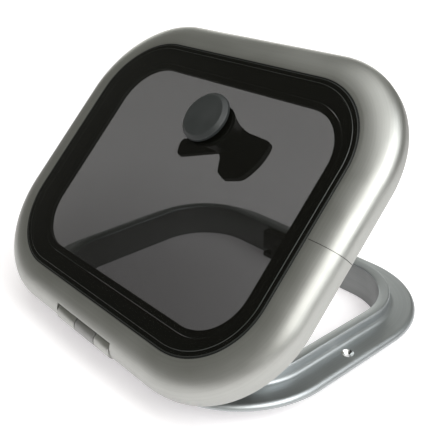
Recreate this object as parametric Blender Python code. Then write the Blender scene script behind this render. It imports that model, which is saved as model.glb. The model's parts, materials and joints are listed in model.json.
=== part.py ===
"""Deck hatch with a tinted pane, a central three-knuckle hinge and a turning latch handle.

World frame: +Z up, the coaming's lower edge on z = 0, the hinge along X on the -Y side. The lid stands open.
Lid pieces are drawn in the lid's own frame: x along the hinge, y from the hinge to the free edge, z out of the
glass, with the zero at the middle of the glass's outer face. Lengths in the tables are millimetres times MM.
"""

import math

import bmesh
import bpy
from mathutils import Matrix, Vector

MM = 0.001
GAP = 0.3 * MM

# Driving dimensions
SIGHT_W = 400 * MM  # opening of the lid ring that frames the glass
SIGHT_D = 313 * MM
SIGHT_R = 85 * MM
OPEN_ANGLE = math.radians(45)

# Lid ring
RING_WIDTH = 36.4 * MM
RING_DROP = 22.5 * MM
RING_SKIRT = 8 * MM
RING_POWER = 2.3
SKIN = 3.2 * MM
SHELF_TOP = 11.5 * MM
SHELF_UNDER = 13.8 * MM
PANE_THICK = 10 * MM
PANE_MARGIN = 1.6 * MM

# Base frame
SEAT = 22.5 * MM  # how far the clear opening lies inside the edge of the glass
FLANGE_WIDTH = 42 * MM
FLANGE_THICK = 6 * MM
LIP_HEIGHT = 14 * MM
LIP_WIDTH = 12.6 * MM
COAMING_DEPTH = 30 * MM
COAMING_WALL = 4 * MM
CLOSED_HEIGHT = 31 * MM  # glass face above the flange when the lid is shut

# Hinge, measured from the middle of the glass face
HINGE_BACK = 183.5 * MM
HINGE_DOWN = 17.5 * MM
KNUCKLE_R = 10.5 * MM
HINGE_END = 51 * MM
SPLIT_LEFT = -14.5 * MM
SPLIT_RIGHT = 23.5 * MM
PIN_R = 3 * MM
BUSH_R = 5.2 * MM
WASHER_THICK = 0.8 * MM

# Handle
HANDLE_X = 4 * MM
HANDLE_Y = 76.4 * MM
LEVER_ANGLE = math.radians(336)
TONGUE_ANGLE = math.radians(201)
LEVER_TOP = 39.2 * MM  # depths below the glass face
LEVER_UNDER = 47.7 * MM
TONGUE_UNDER = 54 * MM
LEVER_R = 61.5 * MM
KNOB_R = 30 * MM
PANE_HOLE_R = 9.3 * MM
SPINDLE_R = 6 * MM

# Keeper
KEEPER_HALF = 47 * MM
KEEPER_PROUD = 10 * MM
KEEPER_TOP = 9.5 * MM

CORNER_STEPS = 8
OPENING_W = SIGHT_W - 2 * SEAT
OPENING_D = SIGHT_D - 2 * SEAT
OPENING_R = 74 * MM
OUTER_HALF_D = OPENING_D / 2 + FLANGE_WIDTH
BASE_Y = (HINGE_BACK + KNUCKLE_R - OUTER_HALF_D) / 2  # centres the whole object's box on y = 0
RIM_Z = COAMING_DEPTH
AXIS_Z = CLOSED_HEIGHT - HINGE_DOWN  # hinge axis above the flange


# ---------------------------------------------------------------- helpers


def clear_scene():
    for old in list(bpy.data.objects):
        bpy.data.objects.remove(old, do_unlink=True)


def material(name, colour, roughness, metallic=0.0, alpha=1.0):
    made = bpy.data.materials.new(name)
    made.use_nodes = True
    shader = made.node_tree.nodes["Principled BSDF"]
    shader.inputs["Base Color"].default_value = (*colour, 1.0)
    shader.inputs["Roughness"].default_value = roughness
    shader.inputs["Metallic"].default_value = metallic
    shader.inputs["Alpha"].default_value = alpha
    made.diffuse_color = (*colour, alpha)
    return made


def empty(name, location, rotation=(0, 0, 0), parent=None):
    made = bpy.data.objects.new(name, None)
    made.location = location
    made.rotation_euler = rotation
    made.parent = parent
    bpy.context.collection.objects.link(made)
    return made


def solid(name, vertices, faces, look, parent, smooth=True):
    """An object from a closed mesh, its faces turned outwards."""
    mesh = bpy.data.meshes.new(name)
    work = bmesh.new()
    corners = [work.verts.new(point) for point in vertices]
    for face in faces:
        work.faces.new([corners[index] for index in face])
    bmesh.ops.recalc_face_normals(work, faces=work.faces)
    work.to_mesh(mesh)
    work.free()
    if look:
        mesh.materials.append(look)
    if smooth:
        mesh.shade_smooth()
        mesh.set_sharp_from_angle(angle=math.radians(35))
    made = bpy.data.objects.new(name, mesh)
    made.parent = parent
    bpy.context.collection.objects.link(made)
    return made


def arc(centre, radius, start, end, steps):
    """Points along an arc, its angles in degrees."""
    found = []
    for step in range(steps + 1):
        angle = math.radians(start + (end - start) * step / steps)
        found.append((centre[0] + radius * math.cos(angle), centre[1] + radius * math.sin(angle)))
    return found


def rounded_outline(corners, steps=5):
    """A closed outline with each corner (x, y, radius) turned into an arc."""
    found = []
    for index, (x, y, radius) in enumerate(corners):
        here = Vector((x, y))
        before = (Vector(corners[index - 1][:2]) - here).normalized()
        after = (Vector(corners[(index + 1) % len(corners)][:2]) - here).normalized()
        half = before.angle(after) / 2
        reach = radius / math.tan(half)
        first = here + before * reach
        last = here + after * reach
        centre = here + (before + after).normalized() * radius / math.sin(half)
        start = first - centre
        turn = start.angle_signed(last - centre)
        for step in range(steps + 1):
            point = centre + Matrix.Rotation(-turn * step / steps, 2) @ start
            found.append(tuple(point))
    return found


def ring_path(width, depth, radius):
    """Points of a rounded rectangle, each with its outward normal."""
    found = []
    corner_signs = ((1, 1), (-1, 1), (-1, -1), (1, -1))
    for quarter, (sign_x, sign_y) in enumerate(corner_signs):
        centre = Vector((sign_x * (width / 2 - radius), sign_y * (depth / 2 - radius)))
        for step in range(CORNER_STEPS + 1):
            angle = math.radians(90 * (quarter + step / CORNER_STEPS))
            normal = Vector((math.cos(angle), math.sin(angle)))
            found.append((centre + normal * radius, normal))
    return found


def swept_ring(name, path, section, look, parent):
    """A closed section of (outward offset, z) points carried round a path."""
    count = len(section)
    vertices = []
    for point, normal in path:
        for offset, z in section:
            spot = point + normal * offset
            vertices.append((spot.x, spot.y, z))
    faces = []
    for station in range(len(path)):
        near = station * count
        far = (station + 1) % len(path) * count
        for index in range(count):
            after = (index + 1) % count
            faces.append((near + index, near + after, far + after, far + index))
    return solid(name, vertices, faces, look, parent)


def turned(name, profile, look, parent, centre=(0, 0, 0), axis="Z", sides=32, closed=False):
    """A solid of revolution. An open profile of (radius, height) points starts and ends on the axis."""
    vertices = []
    rings = []
    for radius, height in profile:
        if radius == 0:
            rings.append([len(vertices)])
            vertices.append((0, 0, height))
            continue
        rings.append(list(range(len(vertices), len(vertices) + sides)))
        for side in range(sides):
            angle = 2 * math.pi * side / sides
            vertices.append((radius * math.cos(angle), radius * math.sin(angle), height))
    pairs = list(zip(rings, rings[1:]))
    if closed:
        pairs.append((rings[-1], rings[0]))
    faces = []
    for lower, upper in pairs:
        for side in range(sides):
            after = (side + 1) % sides
            corners = (lower[side % len(lower)], lower[after % len(lower)])
            corners += (upper[after % len(upper)], upper[side % len(upper)])
            faces.append(tuple(dict.fromkeys(corners)))
    turn = {"X": Matrix.Rotation(math.pi / 2, 3, "Y"), "Y": Matrix.Rotation(-math.pi / 2, 3, "X")}
    if axis != "Z":
        vertices = [turn[axis] @ Vector(point) for point in vertices]
    placed = [Vector(point) + Vector(centre) for point in vertices]
    return solid(name, placed, faces, look, parent)


def prism(name, outline, low, high, look, parent, axis="Z"):
    """An outline extruded from low to high along an axis. For X the outline holds (y, z) points."""
    count = len(outline)
    order = {"Z": lambda a, b, c: (a, b, c), "X": lambda a, b, c: (c, a, b)}[axis]
    vertices = [order(a, b, low) for a, b in outline] + [order(a, b, high) for a, b in outline]
    faces = [tuple(range(count)), tuple(range(count, 2 * count))]
    for index in range(count):
        after = (index + 1) % count
        faces.append((index, after, count + after, count + index))
    return solid(name, vertices, faces, look, parent)


def block(name, low, high, look, parent):
    outline = [(low[0], low[1]), (high[0], low[1]), (high[0], high[1]), (low[0], high[1])]
    return prism(name, outline, low[2], high[2], look, parent)


def helper(obj):
    obj.hide_render = True
    obj.display_type = "WIRE"
    return obj


def boolean(target, operation, other):
    made = target.modifiers.new(other.name, "BOOLEAN")
    made.operation = operation
    made.solver = "EXACT"
    made.object = helper(other)


def cut(target, cutter):
    boolean(target, "DIFFERENCE", cutter)


def join(target, other):
    boolean(target, "UNION", other)


def bevel(target, width, segments=2, angle=40):
    made = target.modifiers.new("edges", "BEVEL")
    made.width = width
    made.segments = segments
    made.limit_method = "ANGLE"
    made.angle_limit = math.radians(angle)
    made.harden_normals = False


def countersunk_screw(name, head_r, shank_r, length, look, parent, centre, turn, sides=24):
    """A flat-head screw with a cross recess, its head's face at the centre and its shank along local -Z."""
    head_depth = head_r - shank_r
    tip = length - 0.7 * shank_r
    profile = [(0, 0), (head_r - 0.2 * MM, 0), (head_r, -0.3 * MM), (shank_r, -0.3 * MM - head_depth)]
    profile += [(shank_r, -tip), (0.4 * shank_r, -length), (0, -length)]
    screw = turned(name, profile, look, parent, sides=sides)
    slot = 0.14 * head_r
    arm = 0.55 * head_r
    outline = [(arm, slot), (slot, slot), (slot, arm), (-slot, arm), (-slot, slot), (-arm, slot)]
    outline += [(-x, -y) for x, y in outline]
    recess = prism(name + "_recess", outline, -0.45 * head_depth - 0.5 * MM, 1 * MM, None, parent)
    for made in (screw, recess):
        made.location = centre
        made.rotation_euler = turn
    cut(screw, recess)
    return screw


# ---------------------------------------------------------------- base


def base_section():
    """Flange, lip and coaming as (distance out from the clear opening, height above the flange)."""
    fillet = 5.5 * MM
    rim = FLANGE_THICK
    flat_end = FLANGE_WIDTH - rim
    points = [(0, -COAMING_DEPTH + 0.6 * MM), (0, LIP_HEIGHT - 2.6 * MM)]
    points += [(1.6 * MM, LIP_HEIGHT - 1.0 * MM), (7 * MM, LIP_HEIGHT - 0.3 * MM)]
    points += arc((LIP_WIDTH - 2.4 * MM, LIP_HEIGHT - 2.4 * MM), 2.4 * MM, 90, 0, 3)
    points += arc((LIP_WIDTH + fillet, fillet), fillet, 180, 270, 4)
    points += arc((flat_end, -rim), rim, 90, 8, 4)
    points += [(FLANGE_WIDTH, -rim), (LIP_WIDTH - 2.8 * MM, -rim)]
    points += [(LIP_WIDTH - 2.8 * MM, LIP_HEIGHT - 3.5 * MM), (COAMING_WALL, LIP_HEIGHT - 3.5 * MM)]
    points += [(COAMING_WALL, -COAMING_DEPTH + 0.6 * MM), (COAMING_WALL - 0.6 * MM, -COAMING_DEPTH)]
    points += [(0.6 * MM, -COAMING_DEPTH)]
    return points


def deck_hole_places():
    """Middles of the countersunk holes in the flange, seen from above the opening's centre."""
    reach = 26 * MM
    side_x = OPENING_W / 2 + reach
    end_y = OPENING_D / 2 + reach
    end_x = 80 * MM
    return [(side_x, 0), (-side_x, 0), (end_x, end_y), (-end_x, end_y), (end_x, -end_y), (-end_x, -end_y)]


def build_base(base, looks):
    path = ring_path(OPENING_W, OPENING_D, OPENING_R)
    frame = swept_ring("base_frame", path, base_section(), looks["aluminium"], base)
    hole_r = 3.2 * MM
    sink_r = 6.5 * MM
    sink = sink_r - hole_r
    above = 2 * MM
    for number, (x, y) in enumerate(deck_hole_places()):
        profile = [(0, above), (sink_r, above), (sink_r, 0), (hole_r, -sink)]
        profile += [(hole_r, -FLANGE_THICK - above), (0, -FLANGE_THICK - above)]
        cut(frame, turned(f"deck_hole_{number}", profile, None, base, centre=(x, y, 0), sides=24))

    wall = OPENING_D / 2
    build_keeper(base, looks, frame, wall)
    build_hinge_base(base, looks, frame)

    key_low = (-25 * MM, -wall - LIP_WIDTH + 2.8 * MM + GAP, -FLANGE_THICK + 0.5 * MM)
    key_high = (25 * MM, -wall - COAMING_WALL - GAP, LIP_HEIGHT - 3.5 * MM - GAP)
    block("base_joint_key", key_low, key_high, looks["steel"], base)


def build_keeper(base, looks, frame, wall):
    """The moulded block on the coaming's inner face. The latch tongue turns into its pocket from the left."""
    face = wall - KEEPER_PROUD
    low = (-KEEPER_HALF, face, -COAMING_DEPTH)
    keeper = block("keeper", low, (KEEPER_HALF, wall - GAP, KEEPER_TOP), looks["black_plastic"], base)
    tongue_top = CLOSED_HEIGHT - LEVER_UNDER - GAP
    tongue_under = CLOSED_HEIGHT - TONGUE_UNDER
    pocket_low = (-KEEPER_HALF - 1 * MM, face - 1 * MM, tongue_under - 0.8 * MM)
    pocket_high = (-31.5 * MM, wall + 1 * MM, tongue_top + 0.5 * MM)
    cut(keeper, block("keeper_pocket", pocket_low, pocket_high, None, base))
    bevel(keeper, 0.8 * MM, 2)
    head_r = 4 * MM
    screw_r = 2 * MM
    turn = (math.pi / 2, 0, 0)
    hole = [(0, 1 * MM), (head_r + GAP, 1 * MM), (head_r + GAP, -0.5 * MM)]
    hole += [(screw_r + GAP, -0.5 * MM - head_r + screw_r), (screw_r + GAP, -16 * MM), (0, -16 * MM)]
    for side, x in (("left", -22 * MM), ("right", 22 * MM)):
        centre = (x, face + 0.15 * MM, -8 * MM)
        for target in (keeper, frame):
            cutter = turned(f"keeper_hole_{side}_{target.name}", hole, None, base, sides=20)
            cutter.location = centre
            cutter.rotation_euler = turn
            cut(target, cutter)
        name = f"keeper_screw_{side}"
        countersunk_screw(name, head_r, screw_r, 13.2 * MM, looks["stainless"], base, centre, turn, 20)


def knuckle(name, low, high, bore_r, look, parent, recess_at=None):
    """A barrel along X on the hinge axis, bored right through."""
    edge = 0.5 * MM
    profile = [(bore_r, low), (KNUCKLE_R - edge, low), (KNUCKLE_R, low + edge)]
    profile += [(KNUCKLE_R, high - edge), (KNUCKLE_R - edge, high), (bore_r, high)]
    if recess_at == "low":
        profile[:1] = [(bore_r, low + 2.6 * MM), (5.6 * MM, low + 2.6 * MM), (5.6 * MM, low)]
    if recess_at == "high":
        profile[-1:] = [(5.6 * MM, high), (5.6 * MM, high - 2.6 * MM), (bore_r, high - 2.6 * MM)]
    return turned(name, profile, look, parent, axis="X", sides=40, closed=True)


def build_hinge_base(base, looks, frame):
    """The fixed half of the hinge, its pin and the pin's plugs, drawn round the hinge axis."""
    axis = empty("hinge_axis_base", (0, -HINGE_BACK, AXIS_Z), parent=base)
    half_gap = WASHER_THICK / 2 + GAP
    flange = -AXIS_Z + GAP
    leaf_top = flange + 3.5 * MM
    leaf_near = 13.5 * MM
    leaf_far = 31 * MM
    leaf_low = (-HINGE_END, leaf_near, flange)
    bracket = block("hinge_base_bracket", leaf_low, (HINGE_END, leaf_far, leaf_top), looks["aluminium"], axis)
    spans = (("left", -HINGE_END, SPLIT_LEFT - half_gap, "low"), ("right", SPLIT_RIGHT + half_gap, HINGE_END, "high"))
    cheek = [(-3 * MM, -8.5 * MM), (leaf_near + 6 * MM, flange), (leaf_near + 6 * MM, leaf_top)]
    cheek += [(6.6 * MM, 3.5 * MM), (6.6 * MM, -1.5 * MM), (3.6 * MM, -6.2 * MM)]
    for side, low, high, recess in spans:
        web = prism(f"hinge_web_{side}", cheek, low + 1 * MM, high - 1 * MM, None, axis, axis="X")
        join(bracket, web)
        join(bracket, knuckle(f"hinge_knuckle_{side}", low, high, PIN_R + GAP, None, axis, recess))
    for side, x in (("left", -33 * MM), ("right", 37 * MM)):
        place = (x, 25 * MM, leaf_top + 0.05 * MM)
        head_r = 4 * MM
        screw_r = 2 * MM
        hole = [(0, 1 * MM), (head_r + GAP, 1 * MM), (head_r + GAP, -0.6 * MM)]
        hole += [(screw_r + GAP, -0.6 * MM - head_r + screw_r), (screw_r + GAP, -14 * MM), (0, -14 * MM)]
        for target in (bracket, frame):
            cutter = turned(f"hinge_hole_{side}_{target.name}", hole, None, axis, sides=20)
            cutter.location = place
            cut(target, cutter)
        seat = (x, 25 * MM, leaf_top - 0.1 * MM)
        name = f"hinge_base_screw_{side}"
        countersunk_screw(name, head_r, screw_r, 9 * MM, looks["stainless"], axis, seat, (0, 0, 0), 20)

    pin_end = HINGE_END - 2.9 * MM
    edge = 0.4 * MM
    profile = [(0, -pin_end), (PIN_R - edge, -pin_end), (PIN_R, -pin_end + edge)]
    profile += [(PIN_R, pin_end - edge), (PIN_R - edge, pin_end), (0, pin_end)]
    turned("hinge_pin", profile, looks["stainless"], axis, axis="X", sides=24)
    for side, sign in (("left", -1), ("right", 1)):
        inner = HINGE_END - 2.3 * MM
        outer = HINGE_END - 0.1 * MM
        cap = [(0, sign * inner), (5.2 * MM, sign * inner), (5.2 * MM, sign * (outer - 0.5 * MM))]
        cap += [(4.4 * MM, sign * outer), (0, sign * outer)]
        turned(f"hinge_cap_{side}", cap, looks["black_plastic"], axis, axis="X", sides=24)
    for side, x in (("left", SPLIT_LEFT), ("right", SPLIT_RIGHT)):
        low = x - WASHER_THICK / 2
        high = x + WASHER_THICK / 2
        ring = [(PIN_R + GAP, low), (9.4 * MM, low), (9.4 * MM, high), (PIN_R + GAP, high)]
        turned(f"hinge_washer_{side}", ring, looks["black_plastic"], axis, axis="X", sides=32, closed=True)


# ---------------------------------------------------------------- lid


def ring_skin(width, top, drop, steps, first):
    """The ring's rounded shoulder: a superellipse quarter from the glass edge out to the side."""
    found = []
    for step in range(steps + 1):
        angle = math.radians(first + (90 - first) * step / steps)
        out = width * math.sin(angle) ** (2 / RING_POWER)
        down = drop * (1 - max(math.cos(angle), 0) ** (2 / RING_POWER))
        found.append((out, -top - down))
    return found


def lid_section():
    bottom = -RING_DROP - RING_SKIRT
    inner_width = RING_WIDTH - SKIN
    inner_wall = SKIN
    leg_out = -7 * MM
    leg_in = -9 * MM
    points = [(0, -SHELF_TOP), (0, -0.7 * MM)]
    points += ring_skin(RING_WIDTH, 0, RING_DROP, 9, 4)
    points += arc((RING_WIDTH - 2.4 * MM, bottom + 2.4 * MM), 2.4 * MM, 0, -90, 3)
    points += [(inner_width - 0.4 * MM, bottom)]
    inner = ring_skin(inner_width, SKIN, RING_DROP - SKIN, 6, 18)
    points += [(inner_width, bottom + 0.4 * MM)] + inner[::-1]
    points += [(inner_wall, -SKIN - 0.8 * MM), (inner_wall, -SHELF_UNDER)]
    points += [(leg_out, -SHELF_UNDER), (leg_out, -19 * MM), (leg_in, -19 * MM), (leg_in, -SHELF_UNDER)]
    points += [(-SEAT, -SHELF_UNDER), (-SEAT, -SHELF_TOP)]
    return points


def build_lid(lid, looks):
    """Everything that turns on the hinge apart from the handle. The empty sits on the hinge axis."""
    glass = empty("glass_centre", (0, HINGE_BACK, HINGE_DOWN), parent=lid)
    path = ring_path(SIGHT_W, SIGHT_D, SIGHT_R)
    frame = swept_ring("lid_frame", path, lid_section(), looks["aluminium"], glass)
    notch_half = HINGE_END + 1.5 * MM
    notch_low = (-notch_half, -20 * MM, -20 * MM)
    notch_high = (notch_half, 3.5 * MM, 20 * MM)
    cut(frame, block("hinge_notch", notch_low, notch_high, None, lid))
    barrel = [(0, -notch_half), (12.3 * MM, -notch_half), (12.3 * MM, notch_half), (0, notch_half)]
    cut(frame, turned("hinge_clearance", barrel, None, lid, axis="X", sides=40))

    inset = PANE_MARGIN
    edge = 0.5 * MM
    outline = ring_path(SIGHT_W - 2 * inset, SIGHT_D - 2 * inset, SIGHT_R - inset)
    rows = ((-edge, 0), (0, -edge), (0, -PANE_THICK + edge), (-edge, -PANE_THICK))
    vertices = []
    for offset, z in rows:
        vertices += [(*(point + normal * offset), z) for point, normal in outline]
    count = len(outline)
    faces = [tuple(range(count)), tuple(range(3 * count, 4 * count))]
    for row in range(3):
        for index in range(count):
            after = (index + 1) % count
            first = row * count
            second = first + count
            faces.append((first + index, first + after, second + after, second + index))
    pane = solid("glazing_pane", vertices, faces, looks["tinted"], glass, smooth=False)
    hole = [(0, 1 * MM), (PANE_HOLE_R, 1 * MM), (PANE_HOLE_R, -PANE_THICK - 1 * MM), (0, -PANE_THICK - 1 * MM)]
    cut(pane, turned("pane_hole", hole, None, glass, centre=(HANDLE_X, HANDLE_Y, 0), sides=32))

    bead_in = -PANE_MARGIN + GAP
    bed_top = -PANE_THICK - GAP
    bed_under = -SHELF_TOP + GAP
    bead = [(-SEAT + 0.6 * MM, bed_under), (-GAP, bed_under), (-GAP, -0.8 * MM), (bead_in, -0.8 * MM)]
    bead += [(bead_in, bed_top), (-SEAT + 0.6 * MM, bed_top)]
    swept_ring("glazing_sealant", path, bead, looks["rubber"], glass)

    trim_in = -30.3 * MM
    trim_out = -SEAT - 0.8 * MM
    trim_under = -16.2 * MM
    trim = [(trim_in, bed_top), (trim_out, bed_top), (trim_out, trim_under + 0.5 * MM)]
    trim += [(trim_out - 0.5 * MM, trim_under), (trim_in + 1.5 * MM, trim_under), (trim_in, trim_under + 1.5 * MM)]
    swept_ring("inner_trim", path, trim, looks["black_plastic"], glass)

    seal_top = -SHELF_UNDER - GAP
    seal_under = -CLOSED_HEIGHT + LIP_HEIGHT + GAP
    seal = [(-20 * MM, seal_top), (-9.6 * MM, seal_top), (-9.6 * MM, seal_under + 0.7 * MM)]
    seal += [(-10.6 * MM, seal_under), (-18.6 * MM, seal_under), (-20 * MM, seal_under + 1 * MM)]
    swept_ring("lid_gasket", path, seal, looks["rubber"], glass)

    key_low = (SIGHT_W / 2 + SKIN + 0.5 * MM, -30 * MM, -SHELF_UNDER + 0.4 * MM)
    key_high = (SIGHT_W / 2 + 14 * MM, 30 * MM, -5.2 * MM)
    block("lid_joint_key", key_low, key_high, looks["steel"], glass)
    build_hinge_lid(lid, looks, frame)
    return glass


def build_hinge_lid(lid, looks, frame):
    """The moving half of the hinge: the middle knuckle, its friction bush and its leaf under the shelf."""
    half_gap = WASHER_THICK / 2 + GAP
    low = SPLIT_LEFT + half_gap
    high = SPLIT_RIGHT - half_gap
    bracket = knuckle("hinge_lid_bracket", low, high, BUSH_R + GAP, looks["aluminium_dark"], lid)
    leaf_top = HINGE_DOWN - SHELF_UNDER - GAP
    leaf_under = leaf_top - 4.2 * MM
    far = HINGE_BACK - SIGHT_D / 2 + 6.7 * MM
    join(bracket, block("hinge_lid_leaf", (low, 8 * MM, leaf_under), (high, far, leaf_top), None, lid))
    bush = [(PIN_R + GAP, low), (BUSH_R, low), (BUSH_R, high), (PIN_R + GAP, high)]
    turned("hinge_bush", bush, looks["black_plastic"], lid, axis="X", sides=24, closed=True)
    for side, x in (("left", low + 8.5 * MM), ("right", high - 8.5 * MM)):
        head_r = 3.6 * MM
        screw_r = 1.8 * MM
        place = (x, far - 5 * MM, leaf_under)
        hole = [(0, 1 * MM), (head_r + GAP, 1 * MM), (head_r + GAP, -0.6 * MM)]
        hole += [(screw_r + GAP, -0.6 * MM - head_r + screw_r), (screw_r + GAP, -6.3 * MM), (0, -6.3 * MM)]
        for target in (bracket, frame):
            cutter = turned(f"leaf_hole_{side}_{target.name}", hole, None, lid, sides=20)
            cutter.location = place
            cutter.rotation_euler = (math.pi, 0, 0)
            cut(target, cutter)
        seat = (x, far - 5 * MM, leaf_under + 0.1 * MM)
        name = f"hinge_lid_screw_{side}"
        countersunk_screw(name, head_r, screw_r, 5.8 * MM, looks["stainless"], lid, seat, (math.pi, 0, 0), 20)


# ---------------------------------------------------------------- handle


def scaled(outline):
    return [(x * MM, y * MM) for x, y in outline]


def lever_outline():
    """The grip: a neck that flares to a fan whose far edge is round about the spindle, pointing along +x."""
    reach = LEVER_R / MM
    points = [(-14, -16), (-14, 17), (14.4, 21.9)]
    points += arc((47.3, 27.2), 6.5, 112, 32, 5)
    points += arc((0, 0), reach, 26, -9, 6)
    points += arc((44.8, -7.9), 16, -14, -45, 3)
    points += arc((41.5, -28.6), 3, -50, -88, 2)
    points += arc((30.5, -29), 3, -95, -140, 2)
    points += [(14.3, -19.9)]
    return scaled(points[::-1])


def tongue_outline():
    """The latch bar with its round root on the spindle, pointing along +x."""
    half = 11.6
    points = arc((0, 0), 14, 56, 304, 12)
    points += arc((71.5, -half + 8), 8, -90, 0, 4)
    points += arc((72.5, half - 7), 7, 0, 90, 4)
    return scaled(points)


def build_handle(handle, looks):
    """The parts that turn together in the pane, drawn round the spindle with z = 0 on the glass face."""
    bore = SPINDLE_R + GAP
    square = 4 * MM
    room = square + GAP
    hub_top = -PANE_THICK - 2.8 * MM
    seat_end = -18 * MM
    hub = [(0, hub_top), (25.5 * MM, hub_top), (26.5 * MM, hub_top - 1 * MM), (24 * MM, -19 * MM)]
    hub += [(21.8 * MM, -27 * MM), (20.4 * MM, -34 * MM), (20 * MM, -LEVER_UNDER), (0, -LEVER_UNDER)]
    lever = turned("handle_lever", hub, looks["black_plastic"], handle, sides=40)
    blade = prism("handle_blade", lever_outline(), -LEVER_UNDER + 0.04 * MM, -LEVER_TOP, None, handle)
    blade.rotation_euler = (0, 0, LEVER_ANGLE)
    bevel(blade, 1.2 * MM, 2, 55)
    join(lever, blade)
    cut(lever, block("handle_socket", (-room, -room, -60 * MM), (room, room, -15 * MM), None, handle))
    seat = [(0, hub_top + 1 * MM), (bore, hub_top + 1 * MM), (bore, seat_end), (0, seat_end)]
    cut(lever, turned("handle_seat", seat, None, handle, sides=32))

    tongue_top = -LEVER_UNDER - GAP
    tongue = prism("latch_tongue", tongue_outline(), -TONGUE_UNDER, tongue_top, looks["black_plastic"], handle)
    tongue.rotation_euler = (0, 0, TONGUE_ANGLE)
    bevel(tongue, 0.9 * MM, 2, 55)
    socket = block("tongue_socket", (-room, -room, -60 * MM), (room, room, -40 * MM), None, handle)
    cut(tongue, socket)

    top = 8 * MM
    spindle_end = -TONGUE_UNDER + 0.4 * MM
    shoulder = seat_end + 0.6 * MM
    inner = square - 0.6 * MM
    rod = [(0, top), (SPINDLE_R - 0.5 * MM, top), (SPINDLE_R, top - 0.5 * MM), (SPINDLE_R, shoulder)]
    rod += [(inner, shoulder), (inner, spindle_end), (0, spindle_end)]
    spindle = turned("spindle", rod, looks["stainless"], handle, sides=32)
    flats = block("spindle_square", (-square, -square, spindle_end), (square, square, shoulder + 1 * MM), None, handle)
    join(spindle, flats)
    screw_r = 2.2 * MM
    head_r = 4.6 * MM
    tap_end = -40 * MM
    thread = [(0, tap_end), (screw_r + GAP, tap_end), (screw_r + GAP, -60 * MM), (0, -60 * MM)]
    cut(spindle, turned("spindle_thread", thread, None, handle, sides=20))

    washer_top = -TONGUE_UNDER - GAP
    washer_under = washer_top - 0.8 * MM
    washer = [(screw_r + GAP, washer_top), (6.8 * MM, washer_top), (6.8 * MM, washer_under)]
    washer += [(screw_r + GAP, washer_under)]
    turned("spring_washer", washer, looks["stainless"], handle, sides=24, closed=True)
    head_top = washer_under - GAP
    screw = [(0, tap_end - 1 * MM), (screw_r, tap_end - 1 * MM), (screw_r, head_top), (head_r, head_top)]
    screw += [(head_r, head_top - 1.4 * MM), (head_r - 1 * MM, head_top - 2 * MM), (0, head_top - 2 * MM)]
    turned("handle_screw", screw, looks["stainless"], handle, sides=24)
    cup = 7.5 * MM
    cap_under = head_top - 4 * MM
    cap = [(0, cap_under), (8 * MM, cap_under), (9.4 * MM, cap_under + 1.4 * MM), (9.4 * MM, washer_top)]
    cap += [(cup, washer_top), (cup, head_top - 2.4 * MM), (0, head_top - 2.4 * MM)]
    turned("screw_cap", cap, looks["black_plastic"], handle, sides=32)

    knob_under = 2.6 * MM
    knob_top = 10.6 * MM
    knob = [(0, knob_top - 0.5 * MM), (20 * MM, knob_top - 0.3 * MM), (24.6 * MM, knob_top)]
    knob += [(25.8 * MM, knob_top - 0.2 * MM), (29.3 * MM, knob_top - 3.4 * MM), (KNOB_R, knob_top - 4.6 * MM)]
    knob += [(KNOB_R, knob_under + 0.8 * MM), (KNOB_R - 1 * MM, knob_under), (bore, knob_under)]
    knob += [(bore, top + GAP), (0, top + GAP)]
    turned("outer_knob", knob, looks["grey_plastic"], handle, sides=48)
    gasket = [(9.4 * MM, GAP), (27.2 * MM, GAP), (27.2 * MM, knob_under - GAP), (9.4 * MM, knob_under - GAP)]
    turned("knob_gasket", gasket, looks["rubber"], handle, sides=40, closed=True)
    ring_r = 0.95 * MM
    ring = arc((bore + ring_r, GAP + ring_r), ring_r, 0, 315, 7)
    turned("spindle_o_ring", ring, looks["rubber"], handle, sides=28, closed=True)


def build_pane_bearing(glass, looks):
    """The bush in the pane's hole and the bearing plate under it. They stay with the pane."""
    place = (HANDLE_X, HANDLE_Y, 0)
    bore = SPINDLE_R + GAP
    outer = PANE_HOLE_R - GAP
    bush = [(bore, -0.1 * MM), (outer, -0.1 * MM), (outer, -PANE_THICK + 0.1 * MM), (bore, -PANE_THICK + 0.1 * MM)]
    turned("spindle_bush", bush, looks["black_plastic"], glass, centre=place, sides=32, closed=True)
    high = -PANE_THICK - GAP
    low = -PANE_THICK - 2.5 * MM
    plate = [(bore, high), (24.5 * MM, high), (24.5 * MM, low), (bore, low)]
    turned("bearing_plate", plate, looks["black_plastic"], glass, centre=place, sides=40, closed=True)


# ---------------------------------------------------------------- assembly


def make_looks():
    return {
        "aluminium": material("satin_aluminium", (0.42, 0.43, 0.43), 0.38, 1.0),
        "aluminium_dark": material("satin_aluminium_dark", (0.36, 0.36, 0.35), 0.42, 1.0),
        "steel": material("zinc_steel", (0.5, 0.5, 0.5), 0.45, 1.0),
        "stainless": material("stainless", (0.62, 0.62, 0.61), 0.28, 1.0),
        "tinted": material("tinted_acrylic", (0.1, 0.09, 0.1), 0.06, 0.0, 0.6),
        "rubber": material("black_rubber", (0.012, 0.012, 0.012), 0.75),
        "black_plastic": material("black_plastic", (0.012, 0.013, 0.012), 0.5),
        "grey_plastic": material("dark_grey_plastic", (0.05, 0.056, 0.056), 0.45),
    }


def main():
    clear_scene()
    looks = make_looks()
    base = empty("opening_centre", (0, BASE_Y, RIM_Z))
    lid = empty("hinge_axis_lid", (0, BASE_Y - HINGE_BACK, RIM_Z + AXIS_Z), (OPEN_ANGLE, 0, 0))
    build_base(base, looks)
    glass = build_lid(lid, looks)
    handle = empty("handle_axis", (HANDLE_X, HANDLE_Y, 0), parent=glass)
    build_pane_bearing(glass, looks)
    build_handle(handle, looks)


main()
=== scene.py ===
"""Looks of the deck hatch: smooth rebuilt pieces with procedural finishes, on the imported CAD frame."""

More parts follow.
